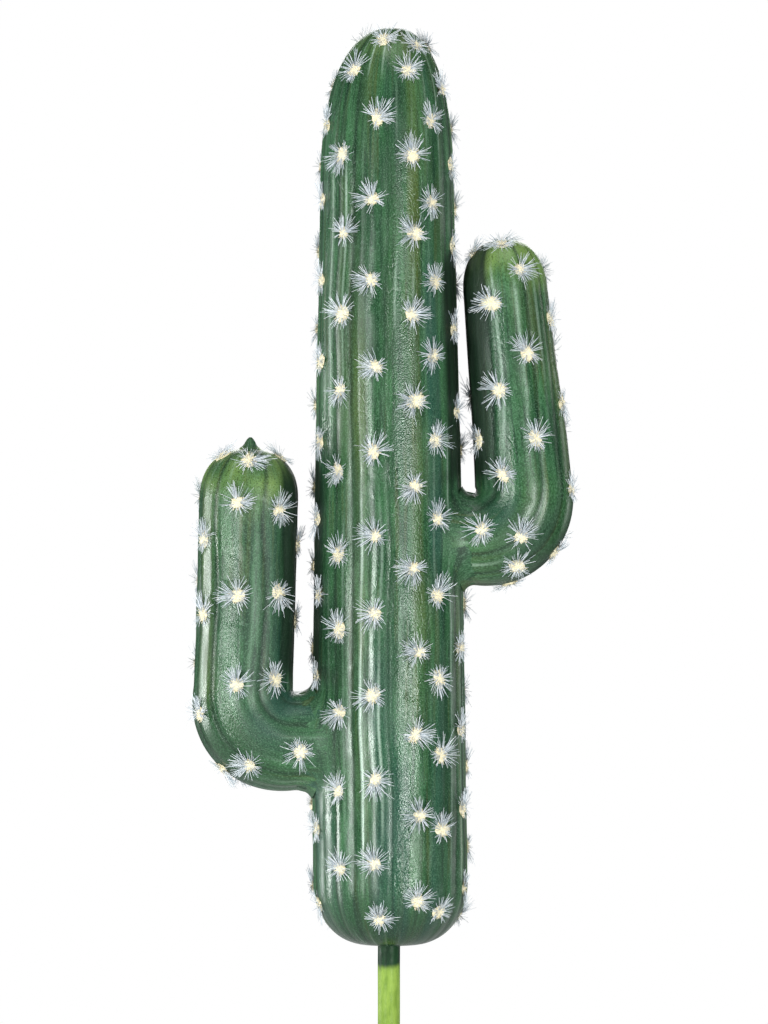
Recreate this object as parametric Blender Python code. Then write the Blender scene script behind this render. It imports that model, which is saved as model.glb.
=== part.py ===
"""Artificial saguaro cactus on a stem, of the kind that is pushed into a planter or a bouquet.

A moulded green body has a ribbed, tapering trunk and two upturned arms. Bristle tufts stand on
it in columns, and the trunk is plugged onto a plastic-coated stem. Units are metres, +Z is up,
and the origin is the middle of the flat cut at the stem's lower end. The front faces -Y, and
both arms lie in the XZ plane.
"""

import math
import random

import bmesh
import bpy
from mathutils import Matrix, Vector

# Clearance between neighbouring solids, and how far a cutter runs past what it cuts
GAP = 0.0003
PAST = 0.01

# Stem: a round rod whose upper end sits in a socket in the trunk's foot
STEM_RADIUS = 0.0036
STEM_SHOWN = 0.058
SOCKET_DEPTH = 0.02
STEM_SIDES = 24

# Trunk: rounded foot, long taper, domed top, and the slight lean of its middle line
TRUNK_HEIGHT = 0.2977
TRUNK_RADIUS = 0.0252
TRUNK_SHOULDER_RADIUS = 0.0219
TRUNK_TAPER_POWER = 1.7
TRUNK_FOOT_HEIGHT = 0.020
TRUNK_FOOT_FLAT_RADIUS = 0.008
TRUNK_FOOT_POWER = 2.0
TRUNK_DOME_HEIGHT = 0.056
TRUNK_BASE_SHIFT = 0.0004
TRUNK_LEAN = -0.0014
TRUNK_TIP_SHIFT = 0.0018
TRUNK_TIP_POWER = 16
TRUNK_RIBS = 24
TRUNK_RIB_DEPTH = 0.0006

# Arms, both of one design with their own sizes. Heights are above the stem's lower end, and
# reach is from the trunk's middle to the middle of the upright part's foot.
ARMS = {
    "left": {
        "side": -1,
        "root_height": 0.1240,
        "root_radius": 0.0161,
        "reach": 0.0474,
        "upright_radius": 0.0162,
        "shoulder_radius": 0.0160,
        "dome_height": 0.0172,
        "top": 0.2189,
        "lean": math.radians(1.7),
        "nub_radius": 0.0036,
        "nub_height": 0.0039,
    },
    "right": {
        "side": 1,
        "root_height": 0.1896,
        "root_radius": 0.0143,
        "reach": 0.0439,
        "upright_radius": 0.0158,
        "shoulder_radius": 0.0138,
        "dome_height": 0.0180,
        "top": 0.2868,
        "lean": math.radians(5.4),
        "nub_radius": 0.0,
        "nub_height": 0.0,
    },
}
ARM_START = 0.012
ARM_RIBS = 12
ARM_RIB_DEPTH = 0.0004
ELBOW_INNER_RADIUS = 0.0006
ELBOW_BULGE = 0.14

# Rings and points of the lofted bodies
FOOT_RINGS = 4
BODY_RINGS = 6
DOME_RINGS = 6
ELBOW_RINGS = 7
SHAFT_RINGS = 4
NUB_RINGS = 3
POINTS_PER_RIB = 3
DOME_POWER = 2.4
# Share of a tip's height at which its last ring closes in a tiny flat
TIP_SHARE = 0.9999

# Bristle tufts: stars with a pad in the middle
TUFT_REACH = 0.0056
TUFT_REACH_SPREAD = 0.13
TUFT_PAD_RADIUS = 0.0017
TUFT_PAD_HEIGHT = 0.0013
TUFT_PAD_EDGE = 0.0005
TUFT_TIP_HEIGHT = 0.0016
TUFT_ROOT_DEPTH = 0.0022
TUFT_SPIKES = 5
TUFT_JITTER = 0.0012
TUFT_SEED = 7

# Least distances of a tuft's middle from the next one, of its tips from another skin, and of
# its middle from the flat faces where an arm is split
TUFT_SPACING = 0.0085
TUFT_CLEARANCE = 0.0006
TUFT_SPLIT_MARGIN = 0.0048

# Columns of tufts on the side that faces the front: degrees from the front, towards +X on the
# trunk and towards the outer side on an arm, the first tuft's distance below the top, and the
# pitch. The others go evenly round the back.
FRONT_COLUMNS = {
    "trunk": (
        (-69, 0.0315, 0.0254),
        (-40, 0.0156, 0.0257),
        (-11, 0.0042, 0.0266),
        (21, 0.0150, 0.0266),
        (41, 0.0065, 0.0254),
        (71, 0.0208, 0.0257),
    ),
    "left": ((-40, 0.0185, 0.0280), (8, 0.0170, 0.0295), (60, 0.0285, 0.0265)),
    "right": ((-23, 0.0211, 0.0270), (19, 0.0104, 0.0277), (73, 0.0283, 0.0265)),
}
BACK_COLUMNS = {"trunk": 6, "left": 4, "right": 5}
BACK_FIRST = {"trunk": 0.0060, "left": 0.0170, "right": 0.0120}
BACK_PITCH = 0.0260
# The lowest tuft's distance above the trunk's foot, and the least gap above it
TRUNK_LAST_TUFT = 0.009
TRUNK_LAST_GAP = 0.017
# The tuft on each arm's dome
ARM_TIP_TUFT = {"left": 0.0040, "right": 0.0019}

# Colour, roughness and metallic value of each material
MATERIALS = {
    "moulded_green": ((0.045, 0.120, 0.055, 1.0), 0.38, 0.0),
    "stem_lime": ((0.300, 0.480, 0.080, 1.0), 0.40, 0.0),
    "bristle_white": ((0.800, 0.780, 0.660, 1.0), 0.65, 0.0),
}
SHARP_ANGLE = math.radians(35)


def clear_scene():
    for thing in list(bpy.data.objects):
        bpy.data.objects.remove(thing, do_unlink=True)


def new_collection(name):
    collection = bpy.data.collections.new(name)
    bpy.context.scene.collection.children.link(collection)
    return collection


def new_material(name):
    colour, roughness, metallic = MATERIALS[name]
    material = bpy.data.materials.new(name)
    material.use_nodes = True
    shader = material.node_tree.nodes["Principled BSDF"]
    shader.inputs["Base Color"].default_value = colour
    shader.inputs["Roughness"].default_value = roughness
    shader.inputs["Metallic"].default_value = metallic
    material.diffuse_color = colour
    return material


def new_object(name, bm, collection, material):
    mesh = bpy.data.meshes.new(name)
    bm.to_mesh(mesh)
    bm.free()
    mesh.materials.append(material)
    thing = bpy.data.objects.new(name, mesh)
    collection.objects.link(thing)
    return thing


def rounding(fraction, power=DOME_POWER):
    """Share of the full radius at a fraction of the way from a dome's rim to its top."""
    return (1.0 - min(max(fraction, 0.0), 1.0) ** power) ** (1.0 / power)


def ring_depths(height, count):
    """Distances from a rounded end's tip, from its rim on, closer together near the tip."""
    return [height * (1.0 - math.sin(math.pi / 2 * step / count)) for step in range(count)]


class Limb:
    """A ribbed body round a centreline. Distances along it run from its root to its tip."""

    def __init__(self, length, full_radius, ribs, rib_depth):
        self.length = length
        self.full_radius = full_radius
        self.ribs = ribs
        self.rib_depth = rib_depth

    def point(self, along, angle, grown=0.0):
        """A point of the skin, or of the skin grown outwards, at an angle from the front."""
        centre, outer = self.centre(along)
        radius = self.radius(along, angle)
        groove = self.rib_depth * max(0.0, math.cos(self.ribs * angle))
        radius -= groove * min(1.0, radius / self.full_radius)
        way = Vector((0, -1, 0)) * math.cos(angle) + outer * math.sin(angle)
        return centre + way * (radius + grown)

    def seat(self, along, angle):
        """Skin point and outward normal at a place on the limb."""
        step, turn = 0.0005, 0.02
        up = self.point(min(along + step, self.length), angle)
        down = self.point(along - step, angle)
        one, other = (self.point(along, angle + way * turn) for way in (1, -1))
        normal = (up - down).cross(one - other).normalized()
        here = self.point(along, angle)
        if normal.dot(here - self.centre(along)[0]) < 0:
            normal.negate()
        return here, normal

    def distance(self, point):
        """How far a point lies outside the limb's skin, to within about a rib's depth.

        Balls along the centreline, up to the last one that fits in the dome, stand for the skin.
        """
        steps = 60
        return min(
            (point - self.centre(place)[0]).length - self.radius(place, 0.0)
            for place in (self.last_ball * step / steps for step in range(steps + 1))
        )


class Trunk(Limb):
    def __init__(self):
        super().__init__(TRUNK_HEIGHT, TRUNK_RADIUS, TRUNK_RIBS, TRUNK_RIB_DEPTH)
        self.shoulder = TRUNK_HEIGHT - TRUNK_DOME_HEIGHT
        self.last_ball = TRUNK_HEIGHT

    def centre(self, along):
        share = max(along / TRUNK_HEIGHT, 0.0)
        shift = TRUNK_BASE_SHIFT + TRUNK_LEAN * share + TRUNK_TIP_SHIFT * share**TRUNK_TIP_POWER
        return Vector((shift, 0, STEM_SHOWN + along)), Vector((1, 0, 0))

    def radius(self, along, _angle):
        share = (along - TRUNK_FOOT_HEIGHT) / (self.shoulder - TRUNK_FOOT_HEIGHT)
        drop = (TRUNK_RADIUS - TRUNK_SHOULDER_RADIUS) * min(max(share, 0.0), 1.0) ** TRUNK_TAPER_POWER
        radius = TRUNK_RADIUS - drop
        if along > self.shoulder:
            radius *= rounding((along - self.shoulder) / TRUNK_DOME_HEIGHT)
        if along < TRUNK_FOOT_HEIGHT:
            swell = rounding(1.0 - along / TRUNK_FOOT_HEIGHT, TRUNK_FOOT_POWER)
            radius = TRUNK_FOOT_FLAT_RADIUS + (radius - TRUNK_FOOT_FLAT_RADIUS) * swell
        return radius

    def stations(self):
        foot = sorted(ring_depths(TRUNK_FOOT_HEIGHT, FOOT_RINGS))
        rise = (self.shoulder - TRUNK_FOOT_HEIGHT) / BODY_RINGS
        body = [TRUNK_FOOT_HEIGHT + rise * step for step in range(1, BODY_RINGS)]
        dome = [TRUNK_HEIGHT - depth for depth in ring_depths(TRUNK_DOME_HEIGHT, DOME_RINGS)]
        return [0.0] + foot + body + dome + [TRUNK_HEIGHT * TIP_SHARE]


class Arm(Limb):
    """A level root out of the trunk, a bend, and a long upright part that ends in a dome."""

    def __init__(self, sizes):
        self.sizes = sizes
        self.bend = sizes["upright_radius"] + ELBOW_INNER_RADIUS
        self.turn = math.pi / 2 + sizes["lean"]
        self.level = sizes["reach"] - self.bend - ARM_START
        self.split = self.level + self.bend * self.turn
        bend_top = sizes["root_height"] + self.bend * (1 + math.sin(sizes["lean"]))
        self.upright = (sizes["top"] - bend_top) / math.cos(sizes["lean"])
        self.tip = self.split + self.upright
        length = self.tip + sizes["nub_height"]
        super().__init__(length, sizes["upright_radius"], ARM_RIBS, ARM_RIB_DEPTH)
        self.last_ball = self.tip - sizes["dome_height"]

    def turned(self, along):
        """How far the centreline has turned up from level."""
        return min(max((along - self.level) / self.bend, 0.0), self.turn)

    def centre(self, along):
        side = self.sizes["side"]
        turned = self.turned(along)
        past = max(along - self.split, 0.0)
        x = ARM_START + min(along, self.level)
        x += self.bend * math.sin(turned) + past * math.cos(turned)
        z = self.sizes["root_height"]
        z += self.bend * (1 - math.cos(turned)) + past * math.sin(turned)
        outer = Vector((side * math.sin(turned), 0, -math.cos(turned)))
        return Vector((side * x, 0, z)), outer

    def past_split(self, point):
        """How far a point lies past the flat faces where the elbow meets the upright part."""
        up = Vector((self.sizes["side"] * math.cos(self.turn), 0, math.sin(self.turn)))
        return (point - self.centre(self.split)[0]).dot(up)

    def radius(self, along, angle):
        sizes = self.sizes
        upright = sizes["upright_radius"]
        if along < self.split:
            root = sizes["root_radius"]
            radius = root + (upright - root) * max(along, 0.0) / self.split
            swell = math.sin(math.pi * self.turned(along) / self.turn)
            return radius * (1 + ELBOW_BULGE * swell * max(0.0, math.sin(angle)) ** 2)
        past = along - self.split
        rim = self.upright - sizes["dome_height"]
        radius = upright + (sizes["shoulder_radius"] - upright) * min(past / rim, 1.0)
        if past > rim:
            radius *= rounding((past - rim) / sizes["dome_height"])
        return max(radius, self.nub(past))

    def nub(self, past):
        """Radius of the small pointed end that some arms have on the dome."""
        height = self.sizes["nub_height"]
        if not height or past < self.upright - height:
            return 0.0
        share = (past - self.upright + height) / (2 * height)
        return self.sizes["nub_radius"] * math.sqrt(max(0.0, 1.0 - share))

    def elbow_stations(self):
        rise = (self.split - self.level) / ELBOW_RINGS
        return [0.0] + [self.level + rise * step for step in range(ELBOW_RINGS)] + [self.split]

    def upright_stations(self):
        rim = self.tip - self.sizes["dome_height"]
        rise = (rim - self.split) / SHAFT_RINGS
        shaft = [self.split + rise * step for step in range(1, SHAFT_RINGS)]
        dome = [self.tip - depth for depth in ring_depths(self.sizes["dome_height"], DOME_RINGS)]
        nub = self.sizes["nub_height"]
        point = [self.tip + nub * step / NUB_RINGS for step in range(NUB_RINGS)] if nub else []
        return [self.split + GAP] + shaft + dome + point + [self.length * TIP_SHARE]


def skin(name, limb, stations, collection, material, grown=0.0):
    """A closed body lofted along a limb, with a flat face at each end."""
    count = limb.ribs * POINTS_PER_RIB
    angles = [2 * math.pi * step / count for step in range(count)]
    bm = bmesh.new()
    rings = [[bm.verts.new(limb.point(s, a, grown)) for a in angles] for s in stations]
    for low, high in zip(rings, rings[1:]):
        for here in range(count):
            after = (here + 1) % count
            bm.faces.new((low[here], low[after], high[after], high[here]))
    bm.faces.new(rings[0])
    bm.faces.new(rings[-1])
    bmesh.ops.recalc_face_normals(bm, faces=bm.faces)
    return new_object(name, bm, collection, material)


def rod(name, radius, low, high, collection, material):
    """A round bar on the Z axis between two heights."""
    bm = bmesh.new()
    bmesh.ops.create_cone(
        bm,
        cap_ends=True,
        segments=STEM_SIDES,
        radius1=radius,
        radius2=radius,
        depth=high - low,
        matrix=Matrix.Translation((0, 0, (low + high) / 2)),
    )
    return new_object(name, bm, collection, material)


def apply_modifiers(thing):
    graph = bpy.context.evaluated_depsgraph_get()
    made = bpy.data.meshes.new_from_object(thing.evaluated_get(graph))
    thing.modifiers.clear()
    thing.data = made


def cut(thing, cutter):
    modifier = thing.modifiers.new("cut by " + cutter.name, "BOOLEAN")
    modifier.operation = "DIFFERENCE"
    modifier.solver = "EXACT"
    modifier.object = cutter
    apply_modifiers(thing)


def fuse(thing, collection):
    """Joins a collection's bodies to a thing with one Boolean, and removes the collection."""
    union = thing.modifiers.new("join " + collection.name, "BOOLEAN")
    union.operation = "UNION"
    union.solver = "EXACT"
    union.operand_type = "COLLECTION"
    union.collection = collection
    union.material_mode = "TRANSFER"
    apply_modifiers(thing)
    for part in list(collection.objects):
        bpy.data.objects.remove(part, do_unlink=True)
    bpy.data.collections.remove(collection)


def columns(limb_name):
    """Tuft columns round a limb, as (angle, first tuft below the top, pitch)."""
    front = FRONT_COLUMNS[limb_name]
    back = BACK_COLUMNS[limb_name]
    step = (front[0][0] + 360 - front[-1][0]) / (back + 1)
    for degrees, first, pitch in front:
        yield math.radians(degrees), first, pitch
    for number in range(back):
        lower = BACK_PITCH / 2 if number % 2 else 0.0
        degrees = front[-1][0] + step * (number + 1)
        yield math.radians(degrees), BACK_FIRST[limb_name] + lower, BACK_PITCH


def jittered(along, angle, limb, chance):
    along += chance.uniform(-TUFT_JITTER, TUFT_JITTER)
    return along, angle + chance.uniform(-TUFT_JITTER, TUFT_JITTER) / limb.full_radius


def trunk_places(trunk, chance):
    """Where tufts stand on the trunk, as (distance along, angle)."""
    lowest = TRUNK_HEIGHT - TRUNK_LAST_TUFT
    for angle, below, pitch in columns("trunk"):
        depths = []
        while below < lowest:
            depths.append(below)
            below += pitch
        if lowest - depths[-1] > TRUNK_LAST_GAP:
            depths.append(lowest)
        for depth in depths:
            yield jittered(TRUNK_HEIGHT - depth, angle, trunk, chance)


def arm_places(which, arm, chance):
    """Where tufts stand on an arm, as (distance along, angle), from its tip to its root."""
    yield arm.tip - ARM_TIP_TUFT[which], 0.0
    for angle, below, pitch in columns(which):
        while below < arm.tip:
            yield jittered(arm.tip - below, angle, arm, chance)
            below += pitch


def star_rim(place, normal, chance):
    """Points round a tuft, a spike's tip and a notch in turn. Spikes lie nearly on the skin."""
    across = normal.orthogonal().normalized()
    over = normal.cross(across)
    first = chance.uniform(0, 2 * math.pi)
    rim = []
    for corner in range(2 * TUFT_SPIKES):
        turn = first + math.pi * corner / TUFT_SPIKES
        way = across * math.cos(turn) + over * math.sin(turn)
        out, height = TUFT_PAD_RADIUS, TUFT_PAD_EDGE
        if corner % 2 == 0:
            out = TUFT_REACH * (1 + chance.uniform(-TUFT_REACH_SPREAD, TUFT_REACH_SPREAD))
            height = TUFT_TIP_HEIGHT
        rim.append(place + way * out + normal * height)
    return rim


def star(name, place, normal, rim, collection, material):
    """A tuft's body, whose lowest point is sunk in the skin so that a union roots it."""
    bm = bmesh.new()
    top = bm.verts.new(place + normal * TUFT_PAD_HEIGHT)
    root = bm.verts.new(place - normal * TUFT_ROOT_DEPTH)
    corners = [bm.verts.new(corner) for corner in rim]
    for one, other in zip(corners, corners[1:] + corners[:1]):
        bm.faces.new((top, one, other))
        bm.faces.new((root, other, one))
    bmesh.ops.recalc_face_normals(bm, faces=bm.faces)
    return new_object(name, bm, collection, material)


def add_tufts(thing, limb, seats, others, chance, material):
    """Fuses tufts onto a body, leaving out those that would crowd or touch something."""
    stars = new_collection(thing.name + "_tufts")
    taken = []
    for place, normal in seats:
        rim = star_rim(place, normal, chance)
        crowded = any((place - other).length < TUFT_SPACING for other in taken)
        tips = rim[::2]
        clear = all(other.distance(tip) > TUFT_CLEARANCE for tip in tips for other in others)
        if crowded or not clear:
            continue
        taken.append(place)
        star(f"{thing.name}_tuft_{len(taken)}", place, normal, rim, stars, material)
    fuse(thing, stars)


def build_arm(which, arm, trunk, grown_trunk, chance, collection, green, white):
    """The elbow, cut clear of the trunk, and the upright part on it."""
    elbow = skin(f"arm_{which}_elbow", arm, arm.elbow_stations(), collection, green)
    cut(elbow, grown_trunk)
    upright = skin(f"arm_{which}_upright", arm, arm.upright_stations(), collection, green)
    seats = [arm.seat(along, angle) for along, angle in arm_places(which, arm, chance)]
    for body, way in ((upright, 1), (elbow, -1)):
        own = [seat for seat in seats if way * arm.past_split(seat[0]) > TUFT_SPLIT_MARGIN]
        add_tufts(body, arm, own, [trunk, arm], chance, white)


def build():
    clear_scene()
    cactus = new_collection("artificial_cactus")
    cutters = new_collection("cutters")
    green = new_material("moulded_green")
    lime = new_material("stem_lime")
    white = new_material("bristle_white")
    chance = random.Random(TUFT_SEED)

    trunk = Trunk()
    arms = {which: Arm(sizes) for which, sizes in ARMS.items()}
    stem_top = STEM_SHOWN + SOCKET_DEPTH
    rod("stem", STEM_RADIUS, 0.0, stem_top, cactus, lime)

    body = skin("trunk", trunk, trunk.stations(), cactus, green)
    socket_ends = STEM_SHOWN - PAST, stem_top + GAP
    socket = rod("socket_cutter", STEM_RADIUS + GAP, *socket_ends, cutters, lime)
    cut(body, socket)
    seats = [trunk.seat(along, angle) for along, angle in trunk_places(trunk, chance)]
    add_tufts(body, trunk, seats, list(arms.values()), chance, white)

    grown_trunk = skin("trunk_cutter", trunk, trunk.stations(), cutters, green, GAP)
    for which, arm in arms.items():
        build_arm(which, arm, trunk, grown_trunk, chance, cactus, green, white)

    for thing in cactus.objects:
        thing.data.shade_smooth()
        thing.data.set_sharp_from_angle(angle=SHARP_ANGLE)
    for cutter in cutters.objects:
        cutter.hide_render = True
        cutter.display_type = "WIRE"


build()
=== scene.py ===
"""Looks of an artificial saguaro cactus on a stem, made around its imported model.

The moulded skin, the stem's coating and the bristle tufts are grown by the rule of the part's
own source, and carried on to fine ribs, creases and single bristles. Units are metres, +Z is
up, the front faces -Y and both arms lie in the XZ plane.
"""

import itertools
import math
import random

import bpy
import numpy as np
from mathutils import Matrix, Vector

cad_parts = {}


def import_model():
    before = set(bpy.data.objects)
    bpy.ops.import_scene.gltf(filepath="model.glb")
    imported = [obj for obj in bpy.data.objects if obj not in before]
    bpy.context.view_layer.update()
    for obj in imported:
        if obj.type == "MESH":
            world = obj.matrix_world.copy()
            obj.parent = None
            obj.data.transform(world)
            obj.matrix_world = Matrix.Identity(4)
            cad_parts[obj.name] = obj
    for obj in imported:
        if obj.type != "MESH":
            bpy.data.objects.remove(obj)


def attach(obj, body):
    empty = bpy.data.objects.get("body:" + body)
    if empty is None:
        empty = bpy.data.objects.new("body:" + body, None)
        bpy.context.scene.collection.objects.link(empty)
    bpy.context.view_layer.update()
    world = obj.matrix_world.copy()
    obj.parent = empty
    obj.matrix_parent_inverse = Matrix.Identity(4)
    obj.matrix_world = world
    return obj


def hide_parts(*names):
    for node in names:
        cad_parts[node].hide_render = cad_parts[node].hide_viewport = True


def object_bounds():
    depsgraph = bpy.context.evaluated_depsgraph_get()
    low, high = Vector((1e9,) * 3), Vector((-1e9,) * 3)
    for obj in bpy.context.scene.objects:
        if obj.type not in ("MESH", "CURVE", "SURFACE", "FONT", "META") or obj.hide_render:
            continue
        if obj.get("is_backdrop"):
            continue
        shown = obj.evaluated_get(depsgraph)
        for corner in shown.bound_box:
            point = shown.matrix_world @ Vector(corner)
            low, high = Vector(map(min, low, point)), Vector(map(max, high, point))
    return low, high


# The part's own sizes: stem, trunk and arms, as in its source
STEM_RADIUS = 0.0036
STEM_SHOWN = 0.058
STEM_TOP = STEM_SHOWN + 0.02
TRUNK_HEIGHT = 0.2977
TRUNK_RADIUS = 0.0252
TRUNK_SHOULDER_RADIUS = 0.0219
TRUNK_TAPER_POWER = 1.7
TRUNK_FOOT_HEIGHT = 0.020
TRUNK_FOOT_FLAT_RADIUS = 0.008
TRUNK_FOOT_POWER = 2.0
TRUNK_DOME_HEIGHT = 0.056
TRUNK_BASE_SHIFT = 0.0004
TRUNK_LEAN = -0.0014
TRUNK_TIP_SHIFT = 0.0018
TRUNK_TIP_POWER = 16
TRUNK_RIBS = 24
TRUNK_RIB_DEPTH = 0.0006
ARMS = {
    "left": {
        "side": -1,
        "root_height": 0.1240,
        "root_radius": 0.0161,
        "reach": 0.0474,
        "upright_radius": 0.0162,
        "shoulder_radius": 0.0160,
        "dome_height": 0.0172,
        "top": 0.2189,
        "lean": math.radians(1.7),
        "nub_radius": 0.0036,
        "nub_height": 0.0039,
    },
    "right": {
        "side": 1,
        "root_height": 0.1896,
        "root_radius": 0.0143,
        "reach": 0.0439,
        "upright_radius": 0.0158,
        "shoulder_radius": 0.0138,
        "dome_height": 0.0180,
        "top": 0.2868,
        "lean": math.radians(5.4),
        "nub_radius": 0.0,
        "nub_height": 0.0,
    },
}
ARM_START = 0.012
ARM_RIBS = 12
ARM_RIB_DEPTH = 0.0004
ELBOW_INNER_RADIUS = 0.0006
ELBOW_BULGE = 0.14
DOME_POWER = 2.4

# The part's own rule for its tufts, as in its source. A front column is (angle in degrees,
# first tuft below the top, pitch)
TUFT_REACH = 0.0056
TUFT_REACH_SPREAD = 0.13
TUFT_TIP_HEIGHT = 0.0016
TUFT_SPIKES = 5
TUFT_JITTER = 0.0012
TUFT_SEED = 7
TUFT_SPACING = 0.0085
TUFT_CLEARANCE = 0.0006
TUFT_SPLIT_MARGIN = 0.0048
CLEARANCE_STEPS = 61
FRONT_COLUMNS = {
    "trunk": (
        (-69, 0.0315, 0.0254),
        (-40, 0.0156, 0.0257),
        (-11, 0.0042, 0.0266),
        (21, 0.0150, 0.0266),
        (41, 0.0065, 0.0254),
        (71, 0.0208, 0.0257),
    ),
    "left": ((-40, 0.0185, 0.0280), (8, 0.0170, 0.0295), (60, 0.0285, 0.0265)),
    "right": ((-23, 0.0211, 0.0270), (19, 0.0104, 0.0277), (73, 0.0283, 0.0265)),
}
BACK_COLUMNS = {"trunk": 6, "left": 4, "right": 5}
BACK_FIRST = {"trunk": 0.0060, "left": 0.0170, "right": 0.0120}
BACK_PITCH = 0.0260
TRUNK_LAST_TUFT = 0.009
TRUNK_LAST_GAP = 0.017
ARM_TIP_TUFT = {"left": 0.0040, "right": 0.0019}

# Fine skin: steps of its mesh, and the soft web where an arm leaves the trunk
TRUNK_STEPS_PER_RIB = 12
ARM_STEPS_PER_RIB = 14
TRUNK_RING_STEP = 0.00118
ARM_RING_STEP = 0.0009
OUTLINE_STEPS = 6000
ROOT_RINGS = 14
ROOT_RINGS_REACH = 0.006
ROOT_RINGS_POWER = 1.5
ROOT_START = 0.0002
ROOT_STEPS = 400
WEB = 0.006
WEB_FULL = 0.9
WEB_LEAST = 0.001
WEB_DIP = 0.00025
WEB_STEPS = 40
NECK_RINGS = 5
NECK_DROP = 0.0003
NECK_RADIUS = 0.0034
NUB_FLARE = 0.0011
NUB_FLARE_HEIGHT = 0.0008

# Relief of the skin: ribs between creases, flattened strips as (middle, half width) in degrees,
# and crosswise dents. It calms down where a bend's rings lie closer than OPEN_RINGS
RIB_RELIEF = {"trunk": 0.00048, "arm": 0.00046}
RIB_CROWN = 0.25
RIB_BLEND = 0.6
ARM_RIB_TURN = math.radians(-7)
CREASE_WIDTHS = {"trunk": (0.10, 0.24), "arm": (0.12, 0.24)}
CREASE_POWER = 1.5
CREASE_DEPTHS = (0.45, 1.15)
CREST_POWER = 1.3
CREST_SHARPNESS = {"trunk": (0.0, 0.9), "arm": (0.0, 0.35)}
FLATS = {
    "trunk": ((14, 5.5), (-127, 6), (165, 7)),
    "left": ((51, 9), (18, 13), (-140, 12)),
    "right": ((-20, 11), (150, 12)),
}
FLAT_EDGE = 0.3
FLAT_CREASES = 0.25
BLOB_REACH = 0.16
BLOB_LEAST = 0.35
DENTS_PER_AREA = 1 / 0.0004
DENT_DEPTH = (0.00010, 0.00040)
DENT_LENGTH = (0.0012, 0.0030)
DENT_WIDTH = (0.0005, 0.0010)
DENT_CURVE = 0.12
OPEN_RINGS = 0.35
SKIN_SEED = 23
NOISE_VALUES = 4096
NOISE_PRIMES = np.array([73856093, 19349663, 83492791])
NOISE_SHIFT = 0.37

# Random patterns over the skin, as (middle value, how far it goes to either side, how fast it
# changes along the limb compared with round it, size, seed)
PATTERNS = {
    "rib_drift": (0.0, 0.20, 1.0, 0.026, 3),
    "lumps": (0.0, 0.00026, 0.45, 0.011, 4),
    "wrinkles": (0.0, 0.00003, 1.0, 0.0022, 5),
    "tint_streaks": (0.0, 0.55, 0.12, 0.006, 6),
    "tint_clouds": (0.0, 0.35, 0.5, 0.016, 7),
    "stem_wave": (0.0, 0.00006, 0.3, 0.003, 8),
    "ripe_patches": (0.8, 0.7, 1.0, 0.007, 9),
    "pale_patches": (0.6, 0.8, 0.4, 0.010, 10),
    "blobs": (0.0, 0.00020, 0.6, 0.0062, 11),
    "crest_highlight_patches": (0.45, 1.6, 0.5, 0.014, 12),
    "ripe_edge": (1.0, 0.35, 1.0, 0.012, 13),
}

# How far apart the limbs' own coordinates for these patterns lie
FLOW_SHIFT = 0.2

# How far down from its tip each limb's skin is paler, and how much. A nub is green above
# NUB_RIPE of its height
RIPE_REACH = {"trunk": 0.030, "left": 0.029, "right": 0.024}
RIPE_SHARE = {"trunk": 0.45, "left": 1.2, "right": 1.1}
NUB_RIPE = 0.2

# How much more blue-green, duller and plainer the skin is on an arm's bend, how much painted
# shade darkens it there, and how much more blue-green it is low on the trunk
BEND_TINT = -0.7
BEND_DULL = 0.3
BEND_PLAIN = 0.7
BEND_SHADE = (0.28, 0.55)
LOW_TINT = -0.6
LOW_TINT_REACH = 0.15

# Each rib's own looks: its tint, from -1 for blue-green to 1 for olive, how pale and grainy it
# is, and how strong the painted highlight line on its crest is
RIB_TINT = (-0.6, 0.6)
RIB_PALE = (-0.5, 0.3)
RIB_GRAIN = (0.2, 0.9)
RIB_CREST_HIGHLIGHT = {"trunk": (0.0, 0.45), "arm": (0.0, 0.25)}

# The same where each limb's front shows them, by rib number counted from the front, with how
# dull a rib is, how sharp its crest is, and how deep the crease of that number is
FRONT_LOOKS = {
    "trunk": {
        "depth": {-1: 0.55, 0: 0.7, 1: 0.25},
        "sharp": {-4: 0.1, -3: 0.15, -2: 1.0, -1: 0.1, 0: 0.0, 1: 0.1, 2: 0.2, 3: 0.8},
        "tint": {-4: -0.1, -3: 0.3, -2: 0.5, -1: -0.2, 0: -0.3, 1: 0.6, 2: -0.7, 3: 0.3, 4: 0.5},
        "pale": {-3: 0.1, 1: 0.25},
        "grain": {-4: 0.7, -3: 0.4, -2: 0.2, -1: 0.3, 0: 1.0, 1: 1.0, 2: 0.3, 3: 0.2},
        "dull": {3: 0.3, 4: 0.4},
        "crest_highlight_share": {-4: 0.4, -3: 0.9, -2: 1.0, -1: 0.8, 0: 0.9, 1: 0.3, 2: 0.2, 3: 0.5},
    },
    "left": {
        "depth": {-2: 0.8, -1: 0.9, 0: 0.5, 1: 0.9, 2: 0.7},
        "sharp": {-2: 0.0, -1: 0.0, 0: 0.2, 1: 0.0},
        "tint": {-3: 0.0, -2: -0.6, -1: 0.2, 0: -0.1, 1: 0.3},
        "pale": {0: 0.15, 1: 0.2},
        "grain": {-2: 0.3, -1: 0.5, 0: 1.0, 1: 0.5},
        "dull": {-2: 0.6, -1: 0.5},
        "crest_highlight_share": {-2: 0.1, -1: 0.5, 0: 0.3, 1: 0.4},
    },
    "right": {
        "depth": {-2: 0.7, -1: 1.0, 0: 0.35, 1: 0.9, 2: 0.8},
        "sharp": {-2: 0.0, -1: 0.0, 0: 0.0, 1: 0.0},
        "tint": {-2: 0.0, -1: -0.2, 0: -0.1, 1: 0.2, 2: 0.6},
        "pale": {-1: 0.0, 0: 0.25, 1: 0.2},
        "grain": {-2: 0.7, -1: 0.7, 0: 0.5, 1: 0.4},
        "dull": {-3: 0.4},
        "crest_highlight_share": {-2: 0.2, -1: 0.6, 0: 0.4, 1: 0.5},
    },
}

# How wide the painted highlight line on a rib's crest is, as a turn in which a whole rib is 2 pi
CREST_LINE = 0.8
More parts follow.
